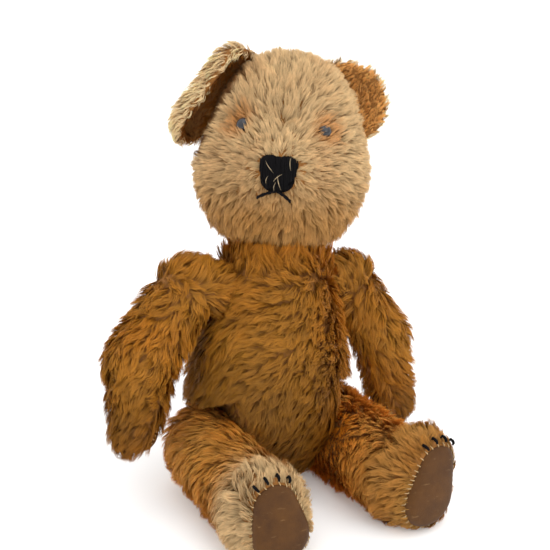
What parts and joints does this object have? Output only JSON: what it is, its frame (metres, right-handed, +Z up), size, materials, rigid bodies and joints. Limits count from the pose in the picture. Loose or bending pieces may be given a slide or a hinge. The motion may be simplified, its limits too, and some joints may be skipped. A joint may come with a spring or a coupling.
{
  "type": "jointed teddy bear",
  "caption": "Sitting plush teddy bear with a turning head and turning arms and legs on disc joints.",
  "frame": {"origin": "on the floor under the seat, midway between the hips", "axes": "+Z up, the bear faces -Y, its left side is +X"},
  "size_m": [0.2416, 0.2209, 0.3049],
  "materials": {
    "plush_head": "long wavy mohair pile, faded pale gold",
    "plush_body": "long wavy mohair pile, golden brown",
    "plush_legs": "long wavy mohair pile, golden brown",
    "plush_ear_lining": "shorter unfaded orange-brown mohair pile",
    "leathercloth": "smooth brown leathercloth, scuffed",
    "black_thread": "matt black embroidery cotton",
    "eye_glass": "polished dark glass",
    "steel": "bright steel",
    "hardboard": "smooth hardboard",
    "wood_wool": "packed wood wool and kapok"
  },
  "bodies": {
    "arm_left": {"arm_left_cotter_pin": "steel", "arm_left_disc": "hardboard", "arm_left_inner_panel": "plush_body", "arm_left_outer_panel": "plush_body", "arm_left_paw_pad": "leathercloth", "arm_left_stuffing": "wood_wool", "arm_left_washer": "steel"},
    "arm_right": {"arm_right_cotter_pin": "steel", "arm_right_disc": "hardboard", "arm_right_inner_panel": "plush_body", "arm_right_outer_panel": "plush_body", "arm_right_paw_pad": "leathercloth", "arm_right_stuffing": "wood_wool", "arm_right_washer": "steel"},
    "head": {"ear_left_back": "plush_head", "ear_left_lining": "plush_ear_lining", "ear_right_back": "plush_head", "ear_right_lining": "plush_ear_lining", "eye_left_glass": "eye_glass", "eye_left_shank": "steel", "eye_right_glass": "eye_glass", "eye_right_shank": "steel", "head_gusset": "plush_head", "head_side_left": "plush_head", "head_side_right": "plush_head", "head_stuffing": "wood_wool", "mouth_stitching": "black_thread", "neck_cotter_pin": "steel", "neck_disc": "hardboard", "neck_washer": "steel", "nose_embroidery": "black_thread"},
    "leg_left": {"leg_left_claws": "black_thread", "leg_left_cotter_pin": "steel", "leg_left_disc": "hardboard", "leg_left_foot_pad": "leathercloth", "leg_left_inner_panel": "plush_legs", "leg_left_outer_panel": "plush_legs", "leg_left_stuffing": "wood_wool", "leg_left_washer": "steel"},
    "leg_right": {"leg_right_claws": "black_thread", "leg_right_cotter_pin": "steel", "leg_right_disc": "hardboard", "leg_right_foot_pad": "leathercloth", "leg_right_inner_panel": "plush_legs", "leg_right_outer_panel": "plush_legs", "leg_right_stuffing": "wood_wool", "leg_right_washer": "steel"},
    "torso": {"torso_disc_arm_left": "hardboard", "torso_disc_arm_right": "hardboard", "torso_disc_leg_left": "hardboard", "torso_disc_leg_right": "hardboard", "torso_disc_neck": "hardboard", "torso_joint_washers": "steel", "torso_panel_left": "plush_body", "torso_panel_right": "plush_body", "torso_stuffing": "wood_wool"}
  },
  "joints": [
    {"name": "neck_turn", "type": "hinge", "parent": "torso", "child": "head", "pos_m": [0.01632, 0.02145, 0.17277], "axis": [0.1467, 0.1219, 0.9816], "continuous": true},
    {"name": "shoulder_left", "type": "hinge", "parent": "torso", "child": "arm_left", "pos_m": [0.05011, 0.01706, 0.13159], "axis": [-0.9967, -0.0274, -0.0768], "range_deg": [-60, 120]},
    {"name": "shoulder_right", "type": "hinge", "parent": "torso", "child": "arm_right", "pos_m": [-0.02803, 0.01706, 0.14327], "axis": [-0.9307, 0.0274, 0.3648], "range_deg": [-60, 120]},
    {"name": "hip_left", "type": "hinge", "parent": "torso", "child": "leg_left", "pos_m": [0.033, 0.004, 0.036], "axis": [0.9889, -0.0518, -0.1392], "range_deg": [-15, 110]},
    {"name": "hip_right", "type": "hinge", "parent": "torso", "child": "leg_right", "pos_m": [-0.033, 0.004, 0.036], "axis": [0.9889, 0.0518, 0.1392], "range_deg": [-15, 110]}
  ]
}
